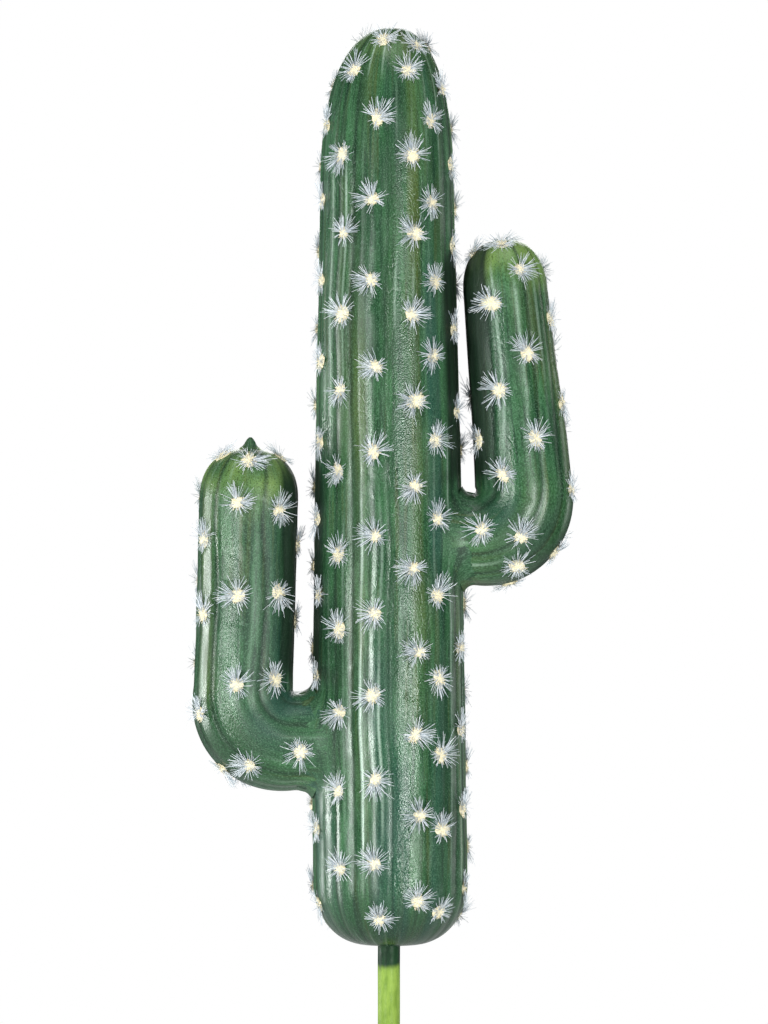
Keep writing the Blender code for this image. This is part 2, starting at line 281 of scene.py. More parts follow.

# Painted shade: the skin is darker where it faces another limb across a narrow gap, above an arm's
# root, and towards the trunk's foot
GAP_SHADE_REACH = 0.015
GAP_SHADE_FADE = 0.007
GAP_SHADE_RISE = 0.010
FOOT_SHADE = 0.62
FOOT_SHADE_REACH = 0.028

# Bristle tufts: clumps of white bristles that lean one way, round a cream core, and a few
# more of them on the arms' domes, as (distance below the tip, angle), and on their bends, as
# (distance along, angle)
DOME_TUFTS = {"left": ((0.0025, 63), (0.0025, -85)), "right": ((0.0012, 180), (0.0040, -80))}
BEND_TUFTS = {
    "left": ((0.0276, 42), (0.0309, 82), (0.0153, 56)),
    "right": ((0.0184, -11), (0.0238, 50), (0.0303, 86), (0.0215, 97)),
}
BRISTLES = 76
BRISTLE_CLUMPS = 46
CLUMP_SPREAD = math.radians(7)
BRISTLE_RADIUS = (0.00008, 0.00011)
BRISTLE_LENGTH = (0.0027, 0.0049)
BRISTLE_RISE = (math.radians(-2), math.radians(26))
BRISTLE_ROOT = (0.0004, 0.0020)
BRISTLE_CROSS = math.radians(13)
BRISTLE_BEND = 0.14
BRISTLE_DROOP = (-0.12, 0.05)
SWEEP_LEAN = 0.38
SWEEP_TURN = math.radians(125)
SWEEP_SPREAD = math.radians(75)
SWEEP_LENGTH = 0.28
GREY_SHARE = 0.38
STUBS = 64
STUB_RADIUS = (0.00013, 0.00021)
STUB_LENGTH = (0.0007, 0.0014)
STUB_TILT = math.radians(48)
STUB_TILT_SPREAD = 0.15
STUB_SHORTER = 0.35
STUB_BEND = 0.1
CORE_RADIUS = (0.0017, 0.0025)
CORE_STRETCH = (1.0, 1.4)
CORE_HEIGHT = 0.0006
CORE_WOBBLE = (0.88, 1.10)
CORE_SUNK = 0.0004
CORE_SIDES = 14
CORE_RINGS = 4
STRAND_SIDES = 3
STRAND_SHARES = (0.0, 0.45, 0.93, 1.0)
TAPER = 0.35

# Added to a bristle's bend, so that a straight one has sides too
STRAND_NUDGE = (1e-4, 2e-4, 3e-4)

# A tuft whose normal tilts less than this from straight up counts as upright
LEAST_TILT = 0.05

# Stem: its own coating, and the paint of the body that runs down on to it
STEM_SIDES = 56
STEM_RINGS = 40
STEM_FIRST_RING = 0.001
STEM_EDGE = 0.0005
STEM_END_INSET = 0.6
PAINT_RUN = 0.0075
PAINT_EDGE = 0.0016
PAINT_FADE = 0.0013

# Fibres, as (lighter colour, darker colour, size of their patches, roughness)
FIBRES = {
    "bristle_white": ((238, 243, 246), (216, 224, 230), 0.0011, 0.5),
    "bristle_grey": ((208, 218, 224), (176, 188, 196), 0.0011, 0.5),
    "bristle_cream": ((248, 241, 214), (236, 226, 192), 0.0006, 0.5),
    "tuft_core": ((240, 232, 202), (224, 213, 174), 0.0004, 0.7),
}
SKIN_SPECULAR = 0.52
SKIN_SPECULAR_TINT = (0.91, 1.0, 0.94, 1.0)
STEM_SPECULAR = 0.2

# The photograph's view: middle of the frame, its size at the object, and the camera's distance
VIEW_MIDDLE = Vector((-0.0016, 0.0, 0.1984))
VIEW_HEIGHT = 0.3328
CAMERA_DISTANCE = 1.7
SENSOR_HEIGHT = 24.0

# Soft lights, as (degrees to the right of the camera, height, distance, width, length, watts)
LIGHTS = {
    "key": (-39, 0.10, 1.0, 0.08, 0.40, 6.2),
    "second": (27, 0.06, 1.1, 0.07, 0.40, 8.4),
    "side_left": (-104, 0.08, 0.9, 0.11, 0.42, 5.4),
    "side_right": (122, 0.15, 1.0, 0.06, 0.5, 0.9),
    "top": (10, 1.3, 0.35, 0.6, 0.6, 3.5),
    "back": (178, 0.6, 1.2, 0.7, 0.7, 5.5),
}
LIGHT_TARGET = (0.0, 0.0, 0.2)
FILL_LIGHT = 0.50
FILL_COLOUR = (0.93, 0.97, 1.0, 1.0)
FILL_REFLECTED = 0.08
WHITE = (1.0, 1.0, 1.0, 1.0)
FLOOR_RADIUS = 0.30
FLOOR_SIDES = 96

FRONT = np.array([0.0, -1.0, 0.0])


def clamp01(value):
    return np.clip(value, 0.0, 1.0)


def smoothstep(value):
    value = clamp01(value)
    return value * value * (3 - 2 * value)


def wrapped(angle):
    """The same angle, from minus half a turn to half a turn."""
    return (angle + math.pi) % math.tau - math.pi


def around(one, other, angle):
    """Directions at an angle from one direction towards another that is square to it."""
    return one * np.cos(angle)[..., None] + other * np.sin(angle)[..., None]


def level_ways(turns):
    """Level directions at angles round the upright axis."""
    return np.stack([np.cos(turns), np.sin(turns), np.zeros_like(turns)], axis=-1)


def rounding(fraction, power=DOME_POWER):
    """Share of the full radius at a fraction of the way from a dome's rim to its top."""
    return (1.0 - clamp01(fraction) ** power) ** (1.0 / power)


def smooth_noise(points, size, seed):
    """Smooth random values from -1 to 1 at points, with bumps about as far apart as size."""
    values = np.random.default_rng(seed).uniform(-1, 1, NOISE_VALUES)
    spots = np.asarray(points) / size + NOISE_SHIFT * seed
    cells = np.floor(spots).astype(np.int64)
    share = smoothstep(spots - cells)
    total = np.zeros(spots.shape[:-1])
    for corner in itertools.product((0, 1), repeat=3):
        weight = np.prod(np.where(corner, share, 1 - share), axis=-1)
        total += weight * values[(cells + corner) @ NOISE_PRIMES % NOISE_VALUES]
    return total


def pattern(name, flow):
    """One of the random patterns, at places in the coordinates that run along a limb."""
    middle, spread, pace, size, seed = PATTERNS[name]
    return middle + spread * smooth_noise(flow * (1.0, 1.0, pace), size, seed)


def smooth_least(one, other, reach):
    """The smaller of two distances, rounded off where they differ by less than a reach."""
    near = clamp01(1.0 - np.abs(one - other) / reach)
    return np.minimum(one, other) - near * near * reach / 4


class Limb:
    """A ribbed body round a centreline. Distances along it run from its root to its tip."""

    def __init__(self, name, length, full_radius, ribs, rib_depth):
        self.name = name
        self.length = length
        self.full_radius = full_radius
        self.ribs = ribs
        self.rib_depth = rib_depth

    def way(self, along, angle):
        """Directions away from the centreline, at an angle from the front."""
        return around(FRONT, self.outer(along), angle)

    def source_point(self, along, angle):
        """Points of the plain skin that the part's source has."""
        along, angle = np.broadcast_arrays(np.float64(along), np.float64(angle))
        radius = self.radius(along, angle)
        groove = self.rib_depth * np.maximum(0.0, np.cos(self.ribs * angle))
        radius = radius - groove * np.minimum(1.0, radius / self.full_radius)
        return self.centre(along) + self.way(along, angle) * radius[..., None]

    def seat(self, along, angle, point):
        """Skin point and outward normal at a place, on the skin that point() makes."""
        step, turn = 0.0005, 0.02
        up = point(min(along + step, self.length), angle)
        down = point(along - step, angle)
        one, other = (point(along, angle + way * turn) for way in (1, -1))
        normal = np.cross(up - down, one - other)
        here = point(along, angle)
        if normal @ (here - self.centre(np.float64(along))) < 0:
            normal = -normal
        return here, normal / np.linalg.norm(normal)

    def distance_by_steps(self, point):
        """The source's measure of how far a point lies outside the limb's skin."""
        places = np.linspace(0.0, self.last_ball, CLEARANCE_STEPS)
        gaps = np.linalg.norm(point - self.centre(places), axis=-1)
        return np.min(gaps - self.radius(places, np.zeros_like(places)))

    def grown_radius(self, along, angle):
        """Radius with the web towards the limbs that this one joins, and how clear it is of them."""
        radius = self.radius(along, angle)
        clear = np.full(radius.shape, WEB)
        centre, way = self.centre(along), self.way(along, angle)
        base = centre + way * radius[..., None]
        for other in self.others:
            gap = other.distance(base)
            clear = np.minimum(clear, gap)
            near = gap < WEB
            if near.any():
                radius = radius.copy()
                radius[near] += self.web(other, base[near], way[near])
        return radius, smoothstep(clear / WEB)

    def web(self, other, base, way):
        """How far the skin rises to the rounded-off surface that it shares with another limb."""
        rise = np.full(len(base), WEB)
        done = np.zeros(len(base), bool)
        arm = self if isinstance(self, Arm) else other
        reach = arm.web_reach(base)
        before = smooth_least(0.0, other.distance(base), reach)
        step = WEB / WEB_STEPS
        for out in np.arange(1, WEB_STEPS + 1) * step:
            gap = smooth_least(out, other.distance(base + way * out), reach)
            gap = gap + WEB_DIP * (out / WEB) ** 2
            reached = (gap >= 0) & ~done
            share = gap[reached] / (gap[reached] - before[reached])
            rise[reached] = out - np.minimum(share, 1.0) * step
            done |= reached
            before = gap
        return rise

    def flow(self, along, angle):
        """Coordinates that run round and along the limb, for patterns that follow it."""
        round_x = np.cos(angle) * self.full_radius + self.flow_shift
        return np.stack([round_x, np.sin(angle) * self.full_radius, along], axis=-1)

    def prepare_relief(self, kind, flow_shift, chance):
        """Draws the looks of each crease and rib, and the places and sizes of dents."""
        self.relief_depth = RIB_RELIEF[kind]
        self.flow_shift = flow_shift
        self.looks = {
            "depth": chance.uniform(*CREASE_DEPTHS, self.ribs),
            "widths": chance.uniform(*CREASE_WIDTHS[kind], (2, self.ribs)),
            "sharp": chance.uniform(*CREST_SHARPNESS[kind], self.ribs),
            "tint": chance.uniform(*RIB_TINT, self.ribs),
            "pale": chance.uniform(*RIB_PALE, self.ribs),
            "grain": chance.uniform(*RIB_GRAIN, self.ribs),
            "dull": np.zeros(self.ribs),
            "crest_highlight_share": np.random.default_rng(self.ribs).uniform(*RIB_CREST_HIGHLIGHT[kind], self.ribs),
        }
        for look, shown in FRONT_LOOKS[self.name].items():
            for number, value in shown.items():
                self.looks[look][number % self.ribs] = value
        dents = int(math.tau * self.full_radius * self.length * DENTS_PER_AREA)
        places = ((0.0, self.length), (-math.pi, math.pi))
        spans = (*places, DENT_DEPTH, DENT_LENGTH, DENT_WIDTH)
        self.dents = np.stack([chance.uniform(*span, dents) for span in spans], axis=-1)

    def rib_phase(self, along, angle):
        """Place counted in ribs round the limb: whole in a crease, halfway on a crest."""
        phase = self.ribs * (angle - self.rib_turn) / math.tau
        return phase + pattern("rib_drift", self.flow(along, angle))

    def creases(self, along, angle):
        """How deep each place lies between crests, and its rib's own looks."""
        phase = self.rib_phase(along, angle)
        nearest = np.round(phase)
        off = phase - nearest
        number = nearest.astype(int) % self.ribs
        rib = np.floor(phase).astype(int) % self.ribs
        before, after = self.looks["widths"]
        width = np.where(off < 0, before[number], after[number])
        broad = np.exp(-((np.abs(off) / width) ** CREASE_POWER))
        sharp = 1 - (2 * np.abs(off)) ** CREST_POWER
        crown = (1 + np.cos(math.tau * off)) / 2
        broad = (broad + RIB_CROWN * crown) / (1 + RIB_CROWN)
        crease = broad + (sharp - broad) * self.looks["sharp"][rib]
        blend = smoothstep(off / RIB_BLEND + 0.5)
        looks = [self.looks[look] for look in ("tint", "pale", "grain", "dull", "crest_highlight_share")]
        one, other = np.stack(looks)[:, number - 1], np.stack(looks)[:, number]
        return crease * self.looks["depth"][number], one * (1 - blend) + other * blend

    def bent(self, along):
        """From 0 where the limb is straight to 1 in the middle of its bend."""
        return np.zeros_like(along)

    def low_tint(self, along):
        """How much more blue-green the skin is on an arm's bend."""
        return BEND_TINT * self.bent(along)

    def gap_shade(self, along, angle):
        """From 0 to 1 where painted shade darkens the skin that faces another limb across a narrow
        gap.
        """
        points = self.source_point(along, angle)
        dark = np.zeros(len(points))
        for other in self.others:
            arm = self if isinstance(self, Arm) else other
            near = smoothstep((GAP_SHADE_REACH - other.distance(points)) / GAP_SHADE_FADE)
            rise = points[:, 2] - arm.sizes["root_height"] - arm.sizes["root_radius"]
            dark = np.maximum(dark, near * smoothstep(rise / GAP_SHADE_RISE))
        return dark

    def low_shade(self, along, angle):
        """How much painted shade darkens the skin on an arm's bend, and most of all below it."""
        least, most = BEND_SHADE
        return (least + (most - least) * smoothstep(np.sin(angle))) * self.bent(along)

    def flats(self, angle):
        """Depth of the flattened strips along the limb, and from 0 to 1 where they are."""
        depth, inside = np.zeros(angle.shape), np.zeros(angle.shape)
        for middle, half in FLATS[self.name]:
            half = math.radians(half)
            off = wrapped(angle - math.radians(middle))
            sunk = self.full_radius * (np.cos(off) - math.cos(half))
            depth = np.maximum(depth, sunk)
            inside = np.maximum(inside, smoothstep((half - np.abs(off)) / (FLAT_EDGE * half)))
        return depth, inside

    def relief(self, along, angle):
        """Height of the skin over its plain radius."""
        crease, _ = self.creases(along, angle)
        flow = self.flow(along, angle)
        drift = pattern("rib_drift", flow) * math.tau / self.ribs
        sunk, inside = self.flats(angle + drift)
        height = -self.relief_depth * crease * (1 - inside * (1 - FLAT_CREASES)) - sunk
        height += pattern("lumps", flow)
        low = smoothstep(1 - along / BLOB_REACH) * (1 - BLOB_LEAST) + BLOB_LEAST
        height += low * pattern("blobs", flow)
        height += pattern("wrinkles", flow)
        for place, turn, deep, long, wide in self.dents:
            across = wrapped(angle - turn) * self.full_radius
            up = along - place + DENT_CURVE * across * across / long
            height -= deep * np.exp(-((across / long) ** 2) - (up / wide) ** 2)
        return height

    def fine_point(self, along, angle):
        """Points of the finished skin, with its webs and relief."""
        along, angle = np.broadcast_arrays(np.float64(along), np.float64(angle))
        along, angle = np.atleast_1d(along), np.atleast_1d(angle)
        radius, clear = self.grown_radius(along, angle)
        calm = clear * np.minimum(1.0, self.radius(along, angle) / self.full_radius) ** 2
        calm = calm * self.stretch(along, angle)
        radius = radius + self.relief(along, angle) * calm
        return self.centre(along) + self.way(along, angle) * radius[..., None]

    def fine_place(self, along, angle):
        return self.fine_point(along, angle)[0]

    def ripeness(self, along, flow):
        """From 0 on the body to 1 in the tip's patches, where the skin is paler and yellower."""
        reach = RIPE_REACH[self.name] * pattern("ripe_edge", flow)
        patch = clamp01(pattern("ripe_patches", flow))
        near = smoothstep((along - self.length + reach) / reach)
        return RIPE_SHARE[self.name] * near * patch * (along < self.last_skin)

    def stretch(self, along, _angle):
        """How open the rings lie beside one another, which calms the relief where they crowd."""
        return np.ones_like(along)


class Trunk(Limb):
    def __init__(self):
        super().__init__("trunk", TRUNK_HEIGHT, TRUNK_RADIUS, TRUNK_RIBS, TRUNK_RIB_DEPTH)
        self.shoulder = TRUNK_HEIGHT - TRUNK_DOME_HEIGHT
        self.last_ball = TRUNK_HEIGHT
        self.last_skin = math.inf
        self.rib_turn = 0.0

    def centre(self, along):
        share = np.maximum(along / TRUNK_HEIGHT, 0.0)
        shift = TRUNK_BASE_SHIFT + TRUNK_LEAN * share + TRUNK_TIP_SHIFT * share**TRUNK_TIP_POWER
        return np.stack([shift, np.zeros_like(shift), STEM_SHOWN + along], axis=-1)

    def outer(self, along):
        return np.broadcast_to(np.array([1.0, 0.0, 0.0]), along.shape + (3,))

    def radius(self, along, _angle):
        share = (along - TRUNK_FOOT_HEIGHT) / (self.shoulder - TRUNK_FOOT_HEIGHT)
        drop = (TRUNK_RADIUS - TRUNK_SHOULDER_RADIUS) * clamp01(share) ** TRUNK_TAPER_POWER
        radius = TRUNK_RADIUS - drop
        radius = radius * rounding((along - self.shoulder) / TRUNK_DOME_HEIGHT)
        swell = rounding(1.0 - along / TRUNK_FOOT_HEIGHT, TRUNK_FOOT_POWER)
        foot = TRUNK_FOOT_FLAT_RADIUS + (radius - TRUNK_FOOT_FLAT_RADIUS) * swell
        return np.where(along < TRUNK_FOOT_HEIGHT, foot, radius)

    def low_tint(self, along):
        """How much more blue-green the skin is low on the trunk."""
        return LOW_TINT * smoothstep(1 - along / LOW_TINT_REACH)

    def low_shade(self, along, _angle):
        """How much painted shade darkens the skin towards the trunk's foot."""
        return FOOT_SHADE * smoothstep(1 - along / FOOT_SHADE_REACH)

    def distance(self, points):
        """How far points lie outside the trunk, measured level."""
        along = points[..., 2] - STEM_SHOWN
        side = points[..., 0] - self.centre(along)[..., 0]
        return np.hypot(side, points[..., 1]) - self.radius(along, None)


class Arm(Limb):
    """A level root out of the trunk, a bend, and a long upright part that ends in a dome."""

    def __init__(self, name, sizes):
        self.sizes = sizes
        self.side = sizes["side"]
        self.bend = sizes["upright_radius"] + ELBOW_INNER_RADIUS
        self.turn = math.pi / 2 + sizes["lean"]
        self.level = sizes["reach"] - self.bend - ARM_START
        self.split = self.level + self.bend * self.turn
        bend_top = sizes["root_height"] + self.bend * (1 + math.sin(sizes["lean"]))
        self.upright = (sizes["top"] - bend_top) / math.cos(sizes["lean"])
        self.tip = self.split + self.upright
        nub = sizes["nub_height"]
        super().__init__(name, self.tip + nub, sizes["upright_radius"], ARM_RIBS, ARM_RIB_DEPTH)
        self.last_ball = self.tip - sizes["dome_height"]
        self.last_skin = self.tip + NUB_RIPE * nub if nub else math.inf
        self.rib_turn = self.side * ARM_RIB_TURN

    def turned(self, along):
        """How far the centreline has turned up from level."""
        return np.clip((along - self.level) / self.bend, 0.0, self.turn)

    def centre(self, along):
        turned = self.turned(along)
        past = np.maximum(along - self.split, 0.0)
        x = ARM_START + np.minimum(along, self.level)
        x = x + self.bend * np.sin(turned) + past * np.cos(turned)
        z = self.sizes["root_height"] + self.bend * (1 - np.cos(turned)) + past * np.sin(turned)
        return np.stack([self.side * x, np.zeros_like(x), z], axis=-1)

    def outer(self, along):
        turned = self.turned(along)
        ways = [self.side * np.sin(turned), np.zeros_like(turned), -np.cos(turned)]
        return np.stack(ways, axis=-1)

    def past_split(self, point):
        """How far a point lies past the flat faces where the elbow meets the upright part."""
        up = np.array([self.side * math.cos(self.turn), 0.0, math.sin(self.turn)])
        return (point - self.centre(np.float64(self.split))) @ up

    def plain_radius(self, along):
        """Radius without the bend's bulge or the nub."""
        sizes = self.sizes
        upright = sizes["upright_radius"]
        root = sizes["root_radius"]
        rim = self.upright - sizes["dome_height"]
        past = along - self.split
        elbow = root + (upright - root) * clamp01(along / self.split)
        shaft = upright + (sizes["shoulder_radius"] - upright) * clamp01(past / rim)
        shaft = shaft * rounding((past - rim) / sizes["dome_height"])
        return np.where(along < self.split, elbow, shaft)

    def bent(self, along):
        return np.sin(math.pi * self.turned(along) / self.turn)

    def radius(self, along, angle):
        bulge = 1 + ELBOW_BULGE * self.bent(along) * np.maximum(0.0, np.sin(angle)) ** 2
        radius = self.plain_radius(along) * np.where(along < self.split, bulge, 1.0)
        return np.maximum(radius, self.nub(along - self.split))

    def nub(self, past):
        """Radius of the small pointed end that some arms have on the dome."""
        height = self.sizes["nub_height"]
        if not height:
            return np.zeros_like(past)
        share = (past - self.upright + height) / (2 * height)
        radius = self.sizes["nub_radius"] * np.sqrt(clamp01(1.0 - share))
        radius = radius + NUB_FLARE * np.exp(-(((past - self.upright) / NUB_FLARE_HEIGHT) ** 2))
        return np.where(share < 0, 0.0, radius * (share < 1))

    def distance(self, points):
        """How far points lie outside the arm, by the nearest of its three stretches."""
        out = self.side * points[..., 0] - ARM_START
        up = points[..., 2] - self.sizes["root_height"]
        level = np.clip(out, -ARM_START, self.level)
        turned = np.clip(np.arctan2(out - self.level, self.bend - up), 0.0, self.turn)
        way = points - self.centre(np.float64(self.split))
        rise = way[..., 0] * self.side * math.cos(self.turn) + way[..., 2] * math.sin(self.turn)
        past = np.clip(rise, 0.0, self.upright)
        gaps = []
        for along in (level, self.level + self.bend * turned, self.split + past):
            reach = np.linalg.norm(points - self.centre(along), axis=-1)
            gaps.append(reach - self.plain_radius(along))
        return np.minimum.reduce(gaps)

    def web_reach(self, points):
        """How far the web spreads at points, which is nothing above and below the arm's root."""
        level = np.abs(points[..., 2] - self.sizes["root_height"])
        past = (level - WEB_FULL * self.sizes["root_radius"]) / WEB
        return WEB * np.maximum(1.0 - smoothstep(past), WEB_LEAST)

    def stretch(self, along, angle):
        inside = 1 + np.sin(angle) * self.radius(along, angle) / self.bend
        bent = (along > self.level) & (along < self.split)
        return np.where(bent, smoothstep(inside / OPEN_RINGS), 1.0)


def even_stations(limb, start, step):
    """Distances along a limb, up to its tip, that lie evenly on its outline."""
    share = (1 - np.cos(np.linspace(0.0, math.pi, OUTLINE_STEPS))) / 2
    fine = start + (limb.length - start) * share
    pieces = np.hypot(np.diff(fine), np.diff(limb.radius(fine, np.zeros_like(fine))))
    walked = np.concatenate([[0.0], np.cumsum(pieces)])
    count = int(walked[-1] / step)
    return np.interp(walked[-1] * (np.arange(count) + 0.5) / count, walked, fine)


def grid_faces(rings, count):
    """Triangles between rings of points that go all the way round."""
    here = np.arange(count)
    after = (here + 1) % count
    low = count * np.arange(rings - 1)[:, None]
    high = low + count
    one = np.stack([low + here, low + after, high + after], axis=-1)
    other = np.stack([low + here, high + after, high + here], axis=-1)
    return np.concatenate([one.reshape(-1, 3), other.reshape(-1, 3)])


def fan_faces(ring_start, count, middle):
    """Triangles from a ring of points to one point."""
    here = np.arange(count)
    after = (here + 1) % count
    return np.stack([ring_start + here, ring_start + after, np.full(count, middle)], axis=-1)


def closed_faces(rings, count):
    """Triangles of rings of points that end in one point, which comes after them."""
    total = rings * count
    return np.concatenate([grid_faces(rings, count), fan_faces(total - count, count, total)])


def repeated(faces, size, number):
    """The same triangles for a number of shapes, each of as many points as size says."""
    return (faces + size * np.arange(number)[:, None, None]).reshape(-1, 3)


def new_piece(name, points, faces, material):
    mesh = bpy.data.meshes.new(name)
    mesh.from_pydata(np.asarray(points).reshape(-1, 3).tolist(), [], faces.tolist())
    mesh.update()
    mesh.shade_smooth()
    mesh.materials.append(material)
    piece = bpy.data.objects.new(name, mesh)
    bpy.context.scene.collection.objects.link(piece)
    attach(piece, "root")
    return piece


def skin_piece(name, limb, along, angle, before, material):
    """A limb's skin as a mesh: rings at (along, angle), after any rings given before them."""
    count = along.shape[1]
    points = limb.fine_point(along.ravel(), angle.ravel()).reshape(-1, count, 3)
    points = np.concatenate([before, points]) if len(before) else points
    tip = points[-1].mean(axis=0)
    faces = closed_faces(len(points), count)
    points = np.vstack([points.reshape(-1, 3), tip])
    piece = new_piece(name, points, faces, material)
    mark_skin(piece, limb, along, angle, len(before) * count)
    return piece


def mark_skin(piece, limb, along, angle, skipped):
    """Gives each point of a skin the looks and coordinates that its material reads."""
    place, turn = along.ravel(), angle.ravel()
    place = np.concatenate([np.full(skipped, place[0]), place, [limb.length]])
    turn = np.concatenate([np.resize(turn, skipped), turn, [0.0]])
    flow = limb.flow(place, turn)
    bent = limb.bent(place)
    dark = limb.gap_shade(place, turn)
    _, clear = limb.grown_radius(place, turn)
    crease, (tint, pale, grain, dull, crest_highlight_share) = limb.creases(place, turn)
    tint = tint + pattern("tint_streaks", flow) + pattern("tint_clouds", flow)
    pale = pale * clamp01(pattern("pale_patches", flow))
    # painted highlight line on the rib crests, broken into patches, with none in the webs or on
    # bends
    crest_highlight_share = crest_highlight_share * clamp01(pattern("crest_highlight_patches", flow)) * clear * (1 - bent)
    phase = math.tau * limb.rib_phase(place, turn)
    looks = {
        # how deep a place lies in its crease, which also sets the painted shade there
        "crease": crease,
        "tint": tint + limb.low_tint(place),
        "tip": np.maximum(limb.ripeness(place, flow), pale),
        # painted shade: darker in narrow gaps, on bends and towards the trunk's foot
        "shade": np.maximum(dark, limb.low_shade(place, turn)),
        "grain": grain,
        "dull": np.maximum.reduce([dull, 1 - clear, dark, BEND_DULL * bent]),
        "streaked": 1 - BEND_PLAIN * bent,
        "flow": flow,
        "crest": np.stack([np.sin(phase), -np.cos(phase), crest_highlight_share], axis=-1),
    }
    for name, values in looks.items():
        kind, field = ("FLOAT", "value") if values.ndim == 1 else ("FLOAT_VECTOR", "vector")
        attribute = piece.data.attributes.new(name, kind, "POINT")
        attribute.data.foreach_set(field, values.astype(np.float32).ravel())


def make_trunk_skin(trunk, material):
    count = TRUNK_RIBS * TRUNK_STEPS_PER_RIB
    turns = np.linspace(-math.pi, math.pi, count, endpoint=False)
    along, angle = np.meshgrid(even_stations(trunk, 0.0, TRUNK_RING_STEP), turns, indexing="ij")
    shares = np.linspace(1.0, 0.0, NECK_RINGS, endpoint=False)[:, None]
    first = trunk.fine_point(along[0], angle[0])
    middle = trunk.centre(np.zeros(1))[0]
    neck = (first - middle) * (1 - shares[..., None])
    neck = neck + trunk.way(along[0], angle[0]) * NECK_RADIUS * shares[..., None]
    neck[..., 2] -= NECK_DROP * shares**2
    piece = skin_piece("trunk_skin", trunk, along, angle, neck + middle, material)
    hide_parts("trunk")


def root_starts(arm, trunk, turns):
    """How far along an arm its skin comes out of the trunk, for each angle."""
    places = np.linspace(0.0, arm.split, ROOT_STEPS)
    along, angle = np.meshgrid(places, turns, indexing="ij")
    points = arm.centre(along) + arm.way(along, angle) * arm.radius(along, angle)[..., None]
    outside = trunk.distance(points) > ROOT_START
    return places[np.argmax(outside, axis=0)]


def make_arm_skin(which, arm, trunk, material):
    count = ARM_RIBS * ARM_STEPS_PER_RIB
    turns = np.linspace(-math.pi, math.pi, count, endpoint=False)
    starts = root_starts(arm, trunk, turns)
    fine = ROOT_RINGS_REACH * (np.arange(ROOT_RINGS) / ROOT_RINGS) ** ROOT_RINGS_POWER
    middle = float(starts.mean())
    stations = even_stations(arm, middle + ROOT_RINGS_REACH, ARM_RING_STEP)
    stations = np.concatenate([middle + fine, stations])
    fade = smoothstep((arm.level + arm.bend - stations) / arm.bend)[:, None]
    along = stations[:, None] + (starts - middle) * fade
    angle = np.broadcast_to(turns, along.shape)
    piece = skin_piece(f"arm_{which}_skin", arm, along, angle, [], material)
    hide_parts(f"arm_{which}_elbow", f"arm_{which}_upright")


def make_stem(material):
    """The coated rod, a little uneven, with a rounded edge at its cut end."""
    shaft = np.linspace(STEM_FIRST_RING, STEM_TOP, STEM_RINGS)
    heights = np.concatenate([[0.0, 0.0, STEM_EDGE], shaft])
    inset = np.concatenate([[STEM_END_INSET * STEM_RADIUS, STEM_EDGE, 0.0], np.zeros(STEM_RINGS)])
    turns = np.linspace(0.0, math.tau, STEM_SIDES, endpoint=False)
    height, turn = np.meshgrid(heights, turns, indexing="ij")
    ways = level_ways(turn)
    places = ways * STEM_RADIUS
    places[..., 2] = height
    radius = STEM_RADIUS - inset[:, None] + pattern("stem_wave", places)
    points = ways * radius[..., None]
    points[..., 2] = height
    total = points.shape[0] * STEM_SIDES
    low_end = fan_faces(0, STEM_SIDES, total)[:, ::-1]
    high_end = fan_faces(total - STEM_SIDES, STEM_SIDES, total + 1)
    faces = np.concatenate([grid_faces(len(heights), STEM_SIDES), low_end, high_end])
    points = np.vstack([points.reshape(-1, 3), [[0.0, 0.0, 0.0], [0.0, 0.0, STEM_TOP]]])
    piece = new_piece("stem_coating", points, faces, material)
    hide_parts("stem")


def columns(limb_name):
    """Tuft columns round a limb, as (angle, first tuft below the top, pitch)."""
    front = FRONT_COLUMNS[limb_name]
    back = BACK_COLUMNS[limb_name]
    step = (front[0][0] + 360 - front[-1][0]) / (back + 1)
    for degrees, first, pitch in front:
        yield math.radians(degrees), first, pitch
    for number in range(back):
        lower = BACK_PITCH / 2 if number % 2 else 0.0
        degrees = front[-1][0] + step * (number + 1)
        yield math.radians(degrees), BACK_FIRST[limb_name] + lower, BACK_PITCH


def jittered(along, angle, limb, chance):
    along += chance.uniform(-TUFT_JITTER, TUFT_JITTER)
    return along, angle + chance.uniform(-TUFT_JITTER, TUFT_JITTER) / limb.full_radius


def trunk_places(trunk, chance):
    """Where tufts stand on the trunk, as (distance along, angle)."""
    lowest = TRUNK_HEIGHT - TRUNK_LAST_TUFT
    for angle, below, pitch in columns("trunk"):
        depths = []
        while below < lowest:
            depths.append(below)
            below += pitch
        if lowest - depths[-1] > TRUNK_LAST_GAP:
            depths.append(lowest)
        for depth in depths:
            yield jittered(TRUNK_HEIGHT - depth, angle, trunk, chance)


def arm_places(which, arm, chance):
    """Where tufts stand on an arm, as (distance along, angle), from its tip to its root."""
    yield arm.tip - ARM_TIP_TUFT[which], 0.0
    for angle, below, pitch in columns(which):
        while below < arm.tip:
            yield jittered(arm.tip - below, angle, arm, chance)
            below += pitch


def across_and_over(normal):
    """Two directions along the skin, the second as near to straight up as it allows."""
    across = np.cross((0.0, 0.0, 1.0), normal)
    size = np.linalg.norm(across)
    across = across / size if size > LEAST_TILT else np.array([1.0, 0.0, 0.0])
    return across, np.cross(normal, across)


def spike_tips(place, normal, chance):
    """Tips of the star that stands for a tuft in the source, and how far each reaches."""
    across = np.array(Vector(normal).orthogonal().normalized())
    over = np.cross(normal, across)
    first = chance.uniform(0, math.tau)
    tips, reaches = [], []
    for spike in range(TUFT_SPIKES):
        turn = first + math.tau * spike / TUFT_SPIKES
        out = TUFT_REACH * (1 + chance.uniform(-TUFT_REACH_SPREAD, TUFT_REACH_SPREAD))
        way = across * math.cos(turn) + over * math.sin(turn)
        tips.append(place + way * out + normal * TUFT_TIP_HEIGHT)
        reaches.append(out)
    return tips, reaches


